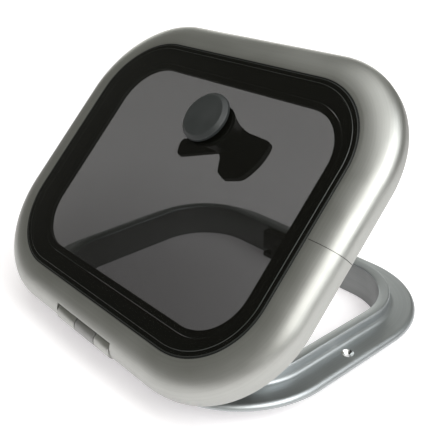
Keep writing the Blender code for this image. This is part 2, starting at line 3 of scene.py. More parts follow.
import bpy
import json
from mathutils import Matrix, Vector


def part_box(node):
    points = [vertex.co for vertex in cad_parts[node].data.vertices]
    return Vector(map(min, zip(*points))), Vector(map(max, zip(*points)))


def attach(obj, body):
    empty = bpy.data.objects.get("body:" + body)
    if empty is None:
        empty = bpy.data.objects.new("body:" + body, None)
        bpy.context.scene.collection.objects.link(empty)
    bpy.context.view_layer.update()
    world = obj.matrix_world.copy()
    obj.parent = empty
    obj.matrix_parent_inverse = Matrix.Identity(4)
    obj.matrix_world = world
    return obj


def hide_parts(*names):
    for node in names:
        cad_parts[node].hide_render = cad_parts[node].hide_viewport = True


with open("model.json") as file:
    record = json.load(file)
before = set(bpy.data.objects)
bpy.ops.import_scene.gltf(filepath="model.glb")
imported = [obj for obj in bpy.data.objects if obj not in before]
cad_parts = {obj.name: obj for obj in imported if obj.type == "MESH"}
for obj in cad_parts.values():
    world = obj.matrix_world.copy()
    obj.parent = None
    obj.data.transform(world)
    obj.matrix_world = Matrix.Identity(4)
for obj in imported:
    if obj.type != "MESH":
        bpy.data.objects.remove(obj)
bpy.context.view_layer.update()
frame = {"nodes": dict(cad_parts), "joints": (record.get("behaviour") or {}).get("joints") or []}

import json
import math

import bmesh
import bpy
from mathutils import Matrix, Vector

MM = 0.001

# The same driving dimensions as the CAD
SIGHT_W = 400 * MM
SIGHT_D = 313 * MM
SIGHT_R = 85 * MM
RING_WIDTH = 36.4 * MM
RING_DROP = 22.5 * MM
RING_SKIRT = 8 * MM
RING_POWER = 2.3
SKIN = 3.2 * MM
SHELF_TOP = 11.5 * MM
SHELF_UNDER = 13.8 * MM
PANE_THICK = 10 * MM
PANE_MARGIN = 1.6 * MM
SEAT = 22.5 * MM
FLANGE_WIDTH = 42 * MM
FLANGE_THICK = 6 * MM
LIP_HEIGHT = 14 * MM
LIP_WIDTH = 12.6 * MM
COAMING_DEPTH = 30 * MM
COAMING_WALL = 4 * MM
CLOSED_HEIGHT = 31 * MM
OPENING_W = SIGHT_W - 2 * SEAT
OPENING_D = SIGHT_D - 2 * SEAT
OPENING_R = 74 * MM
KNUCKLE_R = 10.5 * MM
HINGE_END = 51 * MM
SPLIT_LEFT = -14.5 * MM
SPLIT_RIGHT = 23.5 * MM
HINGE_DOWN = 17.5 * MM
HINGE_BACK = 183.5 * MM
LEVER_ANGLE = math.radians(336)
TONGUE_ANGLE = math.radians(201)
LEVER_TOP = 39.2 * MM
LEVER_UNDER = 47.7 * MM
TONGUE_UNDER = 54 * MM
LEVER_R = 61.5 * MM
KNOB_R = 30 * MM
SPINDLE_R = 6.3 * MM
CORNER_STEPS = 26

# How far the noise behind the aluminium's die lines is stretched, along and across the extrusion
DIE_LINES = (4, 620, 1)

# Camera
CAMERA_PLACE = (0.5740, -0.4816, 0.4739)
CAMERA_TURN = 49.62  # degrees round the object, measured from -Y
CAMERA_DIP = 25.18
CAMERA_ROLL = -1.44
CAMERA_LENS = 59.18
# What the lights are turned towards
AIM = (0, -0.05, 0.12)


# ---------------------------------------------------------------- frames


def joint_of(name):
    return next(joint for joint in frame["joints"] if joint["name"] == name)


def joint_frame(name, turn):
    place = Matrix.Translation(Vector(joint_of(name)["pos_m"]))
    return place @ turn


lid_turn = Matrix.Rotation(-math.radians(joint_of("lid_hinge")["range_deg"][0]), 4, "X")
LID = joint_frame("lid_hinge", lid_turn)
GLASS = LID @ Matrix.Translation((0, HINGE_BACK, HINGE_DOWN))
HANDLE = joint_frame("handle_turn", lid_turn)
HINGE = joint_frame("lid_hinge", Matrix.Identity(4))
coaming_low, coaming_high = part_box("base_frame")
base_x = (coaming_low.x + coaming_high.x) / 2
base_y = (coaming_low.y + coaming_high.y) / 2
BASE = Matrix.Translation((base_x, base_y, COAMING_DEPTH))
# Turns of a piece whose own z lies along another axis
Z_TO_X = Matrix.Rotation(math.pi / 2, 4, "Y")
Z_TO_MINUS_Y = Matrix.Rotation(math.pi / 2, 4, "X")
UPSIDE_DOWN = Matrix.Rotation(math.pi, 4, "X")


# ---------------------------------------------------------------- materials


class Nodes:
    """A material's node tree, with short calls for the nodes used below."""

    def __init__(self, name):
        self.material = bpy.data.materials.new(name)
        self.material.use_nodes = True
        self.tree = self.material.node_tree
        self.shader = self.tree.nodes["Principled BSDF"]

    def add(self, kind, **settings):
        node = self.tree.nodes.new(kind)
        for key, value in settings.items():
            setattr(node, key, value)
        return node

    def link(self, source, target):
        self.tree.links.new(source, target)

    def coordinates(self, scale=(1, 1, 1), kind="Object"):
        where = self.add("ShaderNodeTexCoord")
        mapping = self.add("ShaderNodeMapping")
        mapping.inputs["Scale"].default_value = scale
        self.link(where.outputs[kind], mapping.inputs["Vector"])
        return mapping.outputs["Vector"]

    def noise(self, scale, detail=3.0, rough=0.55, vector=None):
        node = self.add("ShaderNodeTexNoise")
        node.inputs["Scale"].default_value = scale
        node.inputs["Detail"].default_value = detail
        node.inputs["Roughness"].default_value = rough
        if vector is not None:
            self.link(vector, node.inputs["Vector"])
        return node.outputs["Fac"]

    def spread(self, value, low, high, start=0.3, end=0.7):
        node = self.add("ShaderNodeMapRange")
        node.inputs["From Min"].default_value = start
        node.inputs["From Max"].default_value = end
        node.inputs["To Min"].default_value = low
        node.inputs["To Max"].default_value = high
        self.link(value, node.inputs["Value"])
        return node.outputs["Result"]

    def combine(self, operation, first, second):
        node = self.add("ShaderNodeMath", operation=operation)
        for socket, value in zip(node.inputs, (first, second)):
            if isinstance(value, float):
                socket.default_value = value
            else:
                self.link(value, socket)
        return node.outputs[0]

    def shades(self, value, dark, light):
        node = self.add("ShaderNodeMix", data_type="RGBA")
        self.link(value, node.inputs["Factor"])
        node.inputs["A"].default_value = (*dark, 1)
        node.inputs["B"].default_value = (*light, 1)
        return node.outputs["Result"]

    def bump(self, height, strength, distance):
        node = self.add("ShaderNodeBump")
        node.inputs["Strength"].default_value = strength
        node.inputs["Distance"].default_value = distance
        self.link(height, node.inputs["Height"])
        self.link(node.outputs["Normal"], self.shader.inputs["Normal"])

    def set(self, **values):
        for key, value in values.items():
            self.shader.inputs[key.replace("_", " ")].default_value = value


def anodised(name, dark, light, rough_low, rough_high):
    """Satin anodised aluminium: etched grain, die lines along the extrusion and soft handling marks."""
    nodes = Nodes(name)
    nodes.set(Metallic=1.0)
    lines = nodes.noise(1.0, 2.0, 0.5, nodes.coordinates(DIE_LINES, "UV"))
    space = nodes.coordinates()
    grain = nodes.noise(2600, 2.0, 0.6, space)
    marks = nodes.noise(22, 4.0, 0.6, space)
    cloud = nodes.noise(7, 2.0, 0.5, space)
    tone = nodes.combine("ADD", nodes.spread(cloud, 0.0, 0.45), nodes.spread(lines, 0.0, 0.55))
    nodes.link(nodes.shades(tone, dark, light), nodes.shader.inputs["Base Color"])
    worn = nodes.spread(marks, rough_low, rough_high)
    rough = nodes.combine("ADD", worn, nodes.spread(grain, -0.03, 0.03))
    nodes.link(rough, nodes.shader.inputs["Roughness"])
    etched = nodes.combine("MULTIPLY", grain, 0.6)
    drawn = nodes.combine("MULTIPLY", lines, 0.4)
    nodes.bump(nodes.combine("ADD", etched, drawn), 0.22, 0.09 * MM)
    return nodes.material


def machined(name, colour, rough):
    """Bare or blackened metal off a lathe: fine grain, with marks that change tone and gloss."""
    nodes = Nodes(name)
    nodes.set(Metallic=1.0)
    space = nodes.coordinates()
    fine = nodes.noise(1800, 2.0, 0.5, space)
    marks = nodes.noise(90, 3.0, 0.6, space)
    dark = tuple(0.82 * part for part in colour)
    shade = nodes.shades(nodes.spread(marks, 0.0, 1.0), dark, colour)
    nodes.link(shade, nodes.shader.inputs["Base Color"])
    nodes.link(nodes.spread(marks, rough, rough + 0.16), nodes.shader.inputs["Roughness"])
    nodes.bump(fine, 0.12, 0.05 * MM)
    return nodes.material


def moulded(name, dark, light, rough_low, rough_high):
    """Moulded plastic with a spark-eroded grain, slight sheen marks and a little colour drift."""
    nodes = Nodes(name)
    nodes.set(Specular_IOR_Level=0.42)
    space = nodes.coordinates()
    grain = nodes.noise(900, 3.0, 0.6, space)
    drift = nodes.noise(35, 3.0, 0.55, space)
    shade = nodes.shades(nodes.spread(drift, 0.0, 1.0), dark, light)
    nodes.link(shade, nodes.shader.inputs["Base Color"])
    sheen = nodes.spread(drift, rough_low, rough_high)
    rough = nodes.combine("ADD", sheen, nodes.spread(grain, -0.04, 0.04))
    nodes.link(rough, nodes.shader.inputs["Roughness"])
    nodes.bump(grain, 0.3, 0.07 * MM)
    return nodes.material


def rubber(name):
    """Black rubber with a faint bloom."""
    nodes = Nodes(name)
    nodes.set(Specular_IOR_Level=0.3)
    space = nodes.coordinates()
    bloom = nodes.noise(60, 4.0, 0.6, space)
    grain = nodes.noise(1500, 2.0, 0.5, space)
    shade = nodes.shades(nodes.spread(bloom, 0.0, 1.0), (0.004, 0.005, 0.004), (0.009, 0.01, 0.009))
    nodes.link(shade, nodes.shader.inputs["Base Color"])
    nodes.link(nodes.spread(bloom, 0.55, 0.8), nodes.shader.inputs["Roughness"])
    nodes.bump(grain, 0.2, 0.06 * MM)
    return nodes.material


def tinted(name):
    """Smoked acrylic: see-through, with faint polishing haze and wipe marks."""
    nodes = Nodes(name)
    nodes.set(Alpha=0.69, IOR=1.49, Specular_IOR_Level=0.18)
    haze = nodes.noise(9, 4.0, 0.6, nodes.coordinates())
    wipes = nodes.noise(14, 5.0, 0.65, nodes.coordinates((1, 5, 1)))
    dark = (0.0035, 0.0036, 0.0026)
    light = (0.0048, 0.0049, 0.0037)
    shade = nodes.shades(nodes.spread(haze, 0.0, 1.0), dark, light)
    nodes.link(shade, nodes.shader.inputs["Base Color"])
    nodes.link(nodes.spread(wipes, 0.03, 0.09), nodes.shader.inputs["Roughness"])
    return nodes.material


# Name, dark tone, light tone, lowest and highest roughness
ALUMINIUM = anodised("satin_aluminium_look", (0.36, 0.364, 0.346), (0.415, 0.419, 0.4), 0.38, 0.47)
BASE_ALUMINIUM = anodised("base_aluminium_look", (0.345, 0.367, 0.373), (0.4, 0.422, 0.428), 0.4, 0.49)
# A darker, rougher copy for the middle knuckle: the darker tone is painted shade, for the knuckle facing
# another way than the outer ones; the higher roughness is its own
DULL_SHADED_ALUMINIUM = anodised("dull_shaded_aluminium_look", (0.28, 0.28, 0.274), (0.33, 0.33, 0.324), 0.48, 0.57)
# A darker copy of the base aluminium for the coaming's inner wall: painted shade, for the wall lying in
# shade under the lid
SHADED_COAMING_ALUMINIUM = anodised(
    "coaming_painted_shade_look", (0.2, 0.208, 0.204), (0.25, 0.258, 0.254), 0.42, 0.52
)
BLACK = moulded("black_plastic_look", (0.006, 0.0065, 0.005), (0.009, 0.0095, 0.008), 0.42, 0.55)
GREY = moulded("grey_plastic_look", (0.018, 0.021, 0.021), (0.026, 0.029, 0.029), 0.4, 0.52)
FROSTED = moulded("frosted_edge_look", (0.014, 0.016, 0.014), (0.022, 0.024, 0.022), 0.3, 0.4)
# Name, tone, lowest roughness
STAINLESS = machined("stainless_look", (0.56, 0.56, 0.55), 0.2)
ZINC = machined("zinc_look", (0.45, 0.46, 0.47), 0.34)
# Bare machined aluminium for the countersinks, made bright: partly real bare metal, partly a painted
# highlight for the bright spot in the holes
MACHINED_HIGHLIGHT = machined("machined_painted_highlight_look", (0.72, 0.73, 0.72), 0.18)
BLACK_STEEL = machined("black_zinc_look", (0.06, 0.06, 0.06), 0.4)
RUBBER = rubber("rubber_look")
TINTED = tinted("tinted_acrylic_look")


# ---------------------------------------------------------------- mesh helpers


def solid(name, vertices, faces, look, place, uvs=None, sharp=32):
    """A closed mesh in the world frame, its faces turned outwards.

    uvs, if given, holds one (along, across) pair for each corner of each face.
    """
    mesh = bpy.data.meshes.new(name)
    work = bmesh.new()
    corners = [work.verts.new(point) for point in vertices]
    layer = work.loops.layers.uv.new("extrusion")
    for number, face in enumerate(faces):
        made = work.faces.new([corners[index] for index in face])
        for slot, loop in enumerate(made.loops):
            if uvs:
                loop[layer].uv = uvs[number][slot]
            else:
                loop[layer].uv = (loop.vert.co.x, loop.vert.co.y + loop.vert.co.z)
    bmesh.ops.recalc_face_normals(work, faces=work.faces)
    work.to_mesh(mesh)
    work.free()
    mesh.transform(place)
    if look:
        mesh.materials.append(look)
    mesh.shade_smooth()
    mesh.set_sharp_from_angle(angle=math.radians(sharp))
    made = bpy.data.objects.new(name, mesh)
    bpy.context.scene.collection.objects.link(made)
    return made


def arc(centre, radius, start, end, steps):
    found = []
    for step in range(steps + 1):
        angle = math.radians(start + (end - start) * step / steps)
        found.append((centre[0] + radius * math.cos(angle), centre[1] + radius * math.sin(angle)))
    return found


def ring_path(width, depth, radius, steps=CORNER_STEPS):
    """Points of a rounded rectangle, each with its outward normal."""
    found = []
    for quarter, (sign_x, sign_y) in enumerate(((1, 1), (-1, 1), (-1, -1), (1, -1))):
        centre = Vector((sign_x * (width / 2 - radius), sign_y * (depth / 2 - radius)))
        for step in range(steps + 1):
            angle = math.radians(90 * (quarter + step / steps))
            normal = Vector((math.cos(angle), math.sin(angle)))
            found.append((centre + normal * radius, normal))
    return found


def swept_ring(name, path, section, look, place, sharp=32):
    """A closed section of (outward offset, z) points carried round a path."""
    count = len(section)
    vertices = []
    along = [0.0]
    for index, (point, normal) in enumerate(path):
        after = path[(index + 1) % len(path)][0]
        along.append(along[-1] + (after - point).length)
        for offset, z in section:
            spot = point + normal * offset
            vertices.append((spot.x, spot.y, z))
    across = [0.0]
    for index in range(count):
        first = Vector(section[index])
        second = Vector(section[(index + 1) % count])
        across.append(across[-1] + (second - first).length)
    faces = []
    uvs = []
    for station in range(len(path)):
        near = station * count
        far = (station + 1) % len(path) * count
        for index in range(count):
            after = (index + 1) % count
            faces.append((near + index, near + after, far + after, far + index))
            low, high = along[station], along[station + 1]
            left, right = across[index], across[index + 1]
            uvs.append(((low, left), (low, right), (high, right), (high, left)))
    return solid(name, vertices, faces, look, place, uvs, sharp)


def turned(name, profile, look, place, sides=96, closed=False, sharp=32):
    """A solid of revolution about local z."""
    vertices = []
    rings = []
    for radius, height in profile:
        if radius == 0:
            rings.append([len(vertices)])
            vertices.append((0, 0, height))
            continue
        rings.append(list(range(len(vertices), len(vertices) + sides)))
        for side in range(sides):
            angle = 2 * math.pi * side / sides
            vertices.append((radius * math.cos(angle), radius * math.sin(angle), height))
    pairs = list(zip(rings, rings[1:]))
    if closed:
        pairs.append((rings[-1], rings[0]))
    faces = []
    for lower, upper in pairs:
        for side in range(sides):
            after = (side + 1) % sides
            corners = (lower[side % len(lower)], lower[after % len(lower)])
            corners += (upper[after % len(upper)], upper[side % len(upper)])
            faces.append(tuple(dict.fromkeys(corners)))
    return solid(name, vertices, faces, look, place, None, sharp)


def prism(name, outline, low, high, look, place, axis="Z"):
    """An outline extruded along an axis: (x, y) for Z, (y, z) for X, (x, z) for Y."""
    count = len(outline)
    vertices = []
    for level in (low, high):
        for a, b in outline:
            vertices.append({"Z": (a, b, level), "X": (level, a, b), "Y": (a, level, b)}[axis])
    faces = [tuple(range(count)), tuple(range(count, 2 * count))]
    for index in range(count):
        after = (index + 1) % count
        faces.append((index, after, count + after, count + index))
    return solid(name, vertices, faces, look, place)


def block(name, low, high, look, place):
    outline = [(low[0], low[1]), (high[0], low[1]), (high[0], high[1]), (low[0], high[1])]
    return prism(name, outline, low[2], high[2], look, place)


def settle(obj, sharp=32):
    """Applies an object's modifiers and shades it smooth between its sharp edges."""
    graph = bpy.context.evaluated_depsgraph_get()
    mesh = bpy.data.meshes.new_from_object(obj.evaluated_get(graph))
    obj.modifiers.clear()
    obj.data = mesh
    mesh.shade_smooth()
    mesh.set_sharp_from_angle(angle=math.radians(sharp))


def combine(target, operation, *others):
    """One Boolean for each of the others, which are used up. Their faces bring their own material."""
    for other in others:
        made = target.modifiers.new(other.name, "BOOLEAN")
        made.operation = operation
        made.solver = "EXACT"
        made.object = other
        made.material_mode = "TRANSFER"
    settle(target)
    for other in others:
        bpy.data.objects.remove(other, do_unlink=True)
    return target


def rounded(target, width, segments=3, angle=35):
    made = target.modifiers.new("edges", "BEVEL")
    made.width = width
    made.segments = segments
    made.limit_method = "ANGLE"
    made.angle_limit = math.radians(angle)
    settle(target)
    return target


def piece(obj, body, slot, *nodes):
    """Hands a finished piece to the frame, in place of the CAD nodes that it stands for."""
    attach(obj, body)
    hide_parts(*nodes)
    return obj


def shown(node):
    """The name of the piece that is shown in place of a CAD node."""
    return node + "_shown"


# ---------------------------------------------------------------- lid


def ring_skin(width, top, drop, steps, first):
    """Part of a superellipse from near its crown, at the angle first, out to its widest point."""
    found = []
    for step in range(steps + 1):
        angle = math.radians(first + (90 - first) * step / steps)
        out = width * math.sin(angle) ** (2 / RING_POWER)
        down = drop * (1 - max(math.cos(angle), 0) ** (2 / RING_POWER))
        found.append((out, -top - down))
    return found


def lid_section():
    bottom = -RING_DROP - RING_SKIRT
    inner_width = RING_WIDTH - SKIN
    points = [(0, -SHELF_TOP), (0, -0.7 * MM)]
    points += ring_skin(RING_WIDTH, 0, RING_DROP, 44, 4)
    points += arc((RING_WIDTH - 2.4 * MM, bottom + 2.4 * MM), 2.4 * MM, 0, -90, 8)
    points += [(inner_width - 0.4 * MM, bottom), (inner_width, bottom + 0.4 * MM)]
    points += ring_skin(inner_width, SKIN, RING_DROP - SKIN, 20, 14)[::-1]
    points += [(SKIN, -SKIN - 0.8 * MM), (SKIN, -SHELF_UNDER)]
    points += [(-7 * MM, -SHELF_UNDER), (-7 * MM, -19 * MM)]
    points += [(-9 * MM, -19 * MM), (-9 * MM, -SHELF_UNDER)]
    points += [(-SEAT, -SHELF_UNDER), (-SEAT, -SHELF_TOP)]
    return points


def build_lid():
    path = ring_path(SIGHT_W, SIGHT_D, SIGHT_R)
    lid = swept_ring(shown("lid_frame"), path, lid_section(), ALUMINIUM, GLASS)
    notch_half = HINGE_END + 1.5 * MM
    notch_low = (-notch_half, -20 * MM, -20 * MM)
    notch_high = (notch_half, 3.5 * MM, 20 * MM)
    notch = block("notch", notch_low, notch_high, None, LID)
    notch_r = 12.3 * MM
    round_notch = [(0, -notch_half), (notch_r, -notch_half), (notch_r, notch_half), (0, notch_half)]
    clearance = turned("clearance", round_notch, None, LID @ Z_TO_X, 64)
    combine(lid, "DIFFERENCE", notch, clearance)
    groove_depth = 1.1 * MM
    groove = ring_skin(RING_WIDTH - groove_depth, groove_depth, RING_DROP - groove_depth, 30, 1)
    groove += [(RING_WIDTH - groove_depth, -40 * MM), (RING_WIDTH + 6 * MM, -40 * MM)]
    groove += [(RING_WIDTH + 6 * MM, 5 * MM), (groove[0][0], 5 * MM)]
    outline = [(SIGHT_W / 2 + x, z) for x, z in groove]
    seam = prism("seam", outline, -0.27 * MM, 0.27 * MM, BLACK_STEEL, GLASS, axis="Y")
    combine(lid, "DIFFERENCE", seam)
    piece(lid, "lid", "satin_aluminium", "lid_frame")


def build_pane():
    """The pane, with a low step round its top edge and frosted, cut edges."""
    inset = PANE_MARGIN
    edge = 0.6 * MM
    outline = ring_path(SIGHT_W - 2 * inset, SIGHT_D - 2 * inset, SIGHT_R - inset)
    step = 0.45 * MM
    rows = [(-6 * MM, 0), (-5.6 * MM, -0.1 * MM), (-5.3 * MM, -step), (-edge - 0.4 * MM, -step)]
    rows += [(-0.5 * edge, -step - 0.3 * edge), (0, -step - edge)]
    rows += [(0, -PANE_THICK + edge), (-edge, -PANE_THICK)]
    vertices = []
    for offset, z in rows:
        vertices += [(*(point + normal * offset), z) for point, normal in outline]
    count = len(outline)
    last = len(rows) - 1
    faces = [tuple(range(count)), tuple(range(last * count, (last + 1) * count))]
    for row in range(last):
        for index in range(count):
            after = (index + 1) % count
            near = row * count
            far = near + count
            faces.append((near + index, near + after, far + after, far + index))
    pane = solid(shown("glazing_pane"), vertices, faces, TINTED, GLASS, sharp=20)
    pane.data.materials.append(FROSTED)
    frosted_rows = (0, 1, 3, 4)
    for face in pane.data.polygons:
        row = (face.index - 2) // count
        if row in frosted_rows:
            face.material_index = 1
    hole_r = 9.3 * MM
    hole_under = -PANE_THICK - 1 * MM
    hole = [(0, 1 * MM), (hole_r, 1 * MM), (hole_r, hole_under), (0, hole_under)]
    combine(pane, "DIFFERENCE", turned("pane_hole", hole, None, HANDLE, 64))
    piece(pane, "lid", "tinted_acrylic", "glazing_pane")


def build_seals():
    """The three rings under the pane and the ring: sealant, inner trim and gasket."""
    path = ring_path(SIGHT_W, SIGHT_D, SIGHT_R)
    gap = 0.3 * MM
    bead_in = -PANE_MARGIN + gap
    bed_top = -PANE_THICK - gap
    bed_under = -SHELF_TOP + gap
    bead = [(-SEAT + 0.6 * MM, bed_under), (-gap, bed_under), (-gap, -0.8 * MM)]
    bead += [(0.5 * (bead_in - gap), -0.45 * MM), (bead_in, -0.8 * MM)]
    bead += [(bead_in, bed_top), (-6 * MM, bed_top), (-6.3 * MM, bed_top - 0.3 * MM)]
    bead += [(-6.9 * MM, bed_top - 0.3 * MM), (-7.2 * MM, bed_top), (-SEAT + 0.6 * MM, bed_top)]
    sealant = swept_ring(shown("glazing_sealant"), path, bead, RUBBER, GLASS)
    piece(sealant, "lid", "black_rubber", "glazing_sealant")

    trim_in = -30.3 * MM
    trim_out = -SEAT - 0.8 * MM
    under = -16.2 * MM
    trim = [(trim_in, bed_top), (trim_out, bed_top), (trim_out, under + 0.6 * MM)]
    trim += arc((trim_out - 0.6 * MM, under + 0.6 * MM), 0.6 * MM, 0, -90, 4)
    trim += arc((trim_in + 2 * MM, under + 2 * MM), 2 * MM, -90, -180, 8)
    trim_ring = swept_ring(shown("inner_trim"), path, trim, BLACK, GLASS)
    piece(trim_ring, "lid", "black_plastic", "inner_trim")

    top = -SHELF_UNDER - gap
    under = -CLOSED_HEIGHT + LIP_HEIGHT + gap
    seal = [(-20 * MM, top), (-9.6 * MM, top), (-9.6 * MM, under + 1 * MM)]
    seal += arc((-10.6 * MM, under + 1 * MM), 1 * MM, 0, -90, 5)
    seal += [(-13 * MM, under), (-13.4 * MM, under + 0.5 * MM)]
    seal += [(-15 * MM, under + 0.5 * MM), (-15.4 * MM, under), (-18.6 * MM, under)]
    seal += arc((-18.8 * MM, under + 1.2 * MM), 1.2 * MM, -90, -180, 5)
    gasket = swept_ring(shown("lid_gasket"), path, seal, RUBBER, GLASS)
    piece(gasket, "lid", "black_rubber", "lid_gasket")


# ---------------------------------------------------------------- base


def base_section():
    fillet = 5.5 * MM
    rim = FLANGE_THICK
    wall_end = -COAMING_DEPTH + 0.8 * MM
    points = [(0, wall_end), (0, LIP_HEIGHT - 2.6 * MM)]
    points += arc((1.8 * MM, LIP_HEIGHT - 2.6 * MM), 1.8 * MM, 180, 105, 6)
    points += [(7 * MM, LIP_HEIGHT - 0.15 * MM), (LIP_WIDTH - 2.8 * MM, LIP_HEIGHT)]
    points += arc((LIP_WIDTH - 2.4 * MM, LIP_HEIGHT - 2.4 * MM), 2.4 * MM, 84, 0, 8)
    points += arc((LIP_WIDTH + fillet, fillet), fillet, 180, 270, 14)
    points += arc((FLANGE_WIDTH - rim, -rim), rim, 90, 4, 14)
    points += [(FLANGE_WIDTH, -rim), (LIP_WIDTH - 2.8 * MM, -rim)]
    points += [(LIP_WIDTH - 2.8 * MM, LIP_HEIGHT - 3.5 * MM), (COAMING_WALL, LIP_HEIGHT - 3.5 * MM)]
    points += [(COAMING_WALL, wall_end)]
    points += arc((COAMING_WALL - 0.8 * MM, wall_end), 0.8 * MM, -20, -90, 3)
    points += arc((0.8 * MM, wall_end), 0.8 * MM, -90, -160, 3)
    return points


def build_base():
    path = ring_path(OPENING_W, OPENING_D, OPENING_R)
    section = base_section()
    base = swept_ring(shown("base_frame"), path, section, BASE_ALUMINIUM, BASE)
    base.data.materials.append(SHADED_COAMING_ALUMINIUM)
    # The first face of each station is the coaming's inner wall, which gets the darker copy as painted
    # shade
    for face in base.data.polygons:
        if face.index % len(section) == 0:
            face.material_index = 1
    reach = 26 * MM
    side_x = OPENING_W / 2 + reach
    end_y = OPENING_D / 2 + reach
    end_x = 80 * MM
    places = [(side_x, 0), (-side_x, 0)]
    places += [(end_x, end_y), (-end_x, end_y), (end_x, -end_y), (-end_x, -end_y)]
    sink_r = 6.5 * MM
    hole_r = 3.2 * MM
    profile = [(0, 2 * MM), (sink_r + 0.5 * MM, 2 * MM)]
    profile += [(sink_r + 0.5 * MM, 0.2 * MM), (sink_r, -0.15 * MM)]
    profile += [(hole_r, -sink_r + hole_r), (hole_r, -9 * MM), (0, -9 * MM)]
    cutters = []
    for number, (x, y) in enumerate(places):
        place = BASE @ Matrix.Translation((x, y, 0))
        # The cutters leave their bright bare-metal faces in the countersinks, partly a painted highlight
        cutters.append(turned(f"hole_{number}", profile, MACHINED_HIGHLIGHT, place, 64))
    combine(base, "DIFFERENCE", *cutters)
    piece(base, "base", "satin_aluminium", "base_frame")


def build_keeper():
    wall = OPENING_D / 2
    face = wall - 10 * MM
    low = (-47 * MM, face, -COAMING_DEPTH)
    keeper = block(shown("keeper"), low, (47 * MM, wall - 0.3 * MM, 9.5 * MM), BLACK, BASE)
    rounded(keeper, 1.2 * MM, 3, 60)
    tongue_top = CLOSED_HEIGHT - LEVER_UNDER + 0.2 * MM
    tongue_under = CLOSED_HEIGHT - TONGUE_UNDER - 0.8 * MM
    pocket_low = (-49 * MM, face - 1 * MM, tongue_under)
    pocket_high = (-31.5 * MM, wall + 1 * MM, tongue_top)
    pocket = block("pocket", pocket_low, pocket_high, None, BASE)
    cuts = [pocket]
    for x in (-22 * MM, 22 * MM):
        turn = BASE @ Matrix.Translation((x, face + 0.15 * MM, -8 * MM)) @ Z_TO_MINUS_Y
        hole = screw_hole(4.3 * MM, 2.3 * MM, 0.5 * MM, 16 * MM)
        cuts.append(turned(f"keeper_hole_{x}", hole, None, turn, 48))
    combine(keeper, "DIFFERENCE", *cuts)
    rounded(keeper, 0.3 * MM, 2, 60)
    piece(keeper, "base", "black_plastic", "keeper")
    for side, x in (("left", -22 * MM), ("right", 22 * MM)):
        turn = BASE @ Matrix.Translation((x, face + 0.15 * MM, -8 * MM)) @ Z_TO_MINUS_Y
        screw(f"keeper_screw_{side}", 4 * MM, 2 * MM, 13.2 * MM, turn, "base", BLACK_STEEL)


def screw_hole(head_r, shank_r, sink, depth):
    """The outline of a cutter for a countersunk screw: sink is how far the full head width goes in."""
    cone = head_r - shank_r
    outline = [(0, 1 * MM), (head_r, 1 * MM), (head_r, -sink), (shank_r, -sink - cone)]
    return outline + [(shank_r, -depth), (0, -depth)]


def screw(node, head_r, shank_r, length, place, body, look=STAINLESS):
    """A countersunk cross-head screw, its face at the origin of place and its shank along local -z."""
    depth = head_r - shank_r
    profile = [(0, 0), (head_r - 0.4 * MM, 0), (head_r - 0.1 * MM, -0.1 * MM), (head_r, -0.3 * MM)]
    profile += [(shank_r, -0.3 * MM - depth)]
    turns = 10
    start = 0.8 * MM + depth
    pitch = (length - start - 0.7 * shank_r) / turns
    for turn in range(turns):
        profile += [(0.8 * shank_r, -start - turn * pitch), (shank_r, -start - (turn + 0.5) * pitch)]
    profile += [(0.4 * shank_r, -length), (0, -length)]
    made = turned(shown(node), profile, look, place, 48)
    slot = 0.13 * head_r
    arm = 0.55 * head_r
    outline = [(arm, slot), (slot, slot), (slot, arm), (-slot, arm), (-slot, slot), (-arm, slot)]
    outline += [(-x, -y) for x, y in outline]
    recess = prism("recess", outline, -0.45 * depth - 0.5 * MM, 1 * MM, None, place)
    combine(made, "DIFFERENCE", recess)
    return piece(made, body, "stainless", node)


# ---------------------------------------------------------------- hinge


def knuckle(name, low, high, bore_r, look, place, recess_at=None):
    """A barrel about the hinge line, from low to high, with a recess for a cap at one end if asked."""
    edge = 0.7 * MM
    corner_r = KNUCKLE_R - 0.3 * edge
    profile = [(bore_r, low), (KNUCKLE_R - edge, low), (corner_r, low + 0.3 * edge)]
    profile += [(KNUCKLE_R, low + edge), (KNUCKLE_R, high - edge)]
    profile += [(corner_r, high - 0.3 * edge), (KNUCKLE_R - edge, high), (bore_r, high)]
    deep = 2.6 * MM
    wide = 5.6 * MM
    if recess_at == "low":
        profile[:1] = [(bore_r, low + deep), (wide, low + deep), (wide, low)]
    if recess_at == "high":
        profile[-1:] = [(wide, high), (wide, high - deep), (bore_r, high - deep)]
    return turned(name, profile, look, place @ Z_TO_X, 96, closed=True)


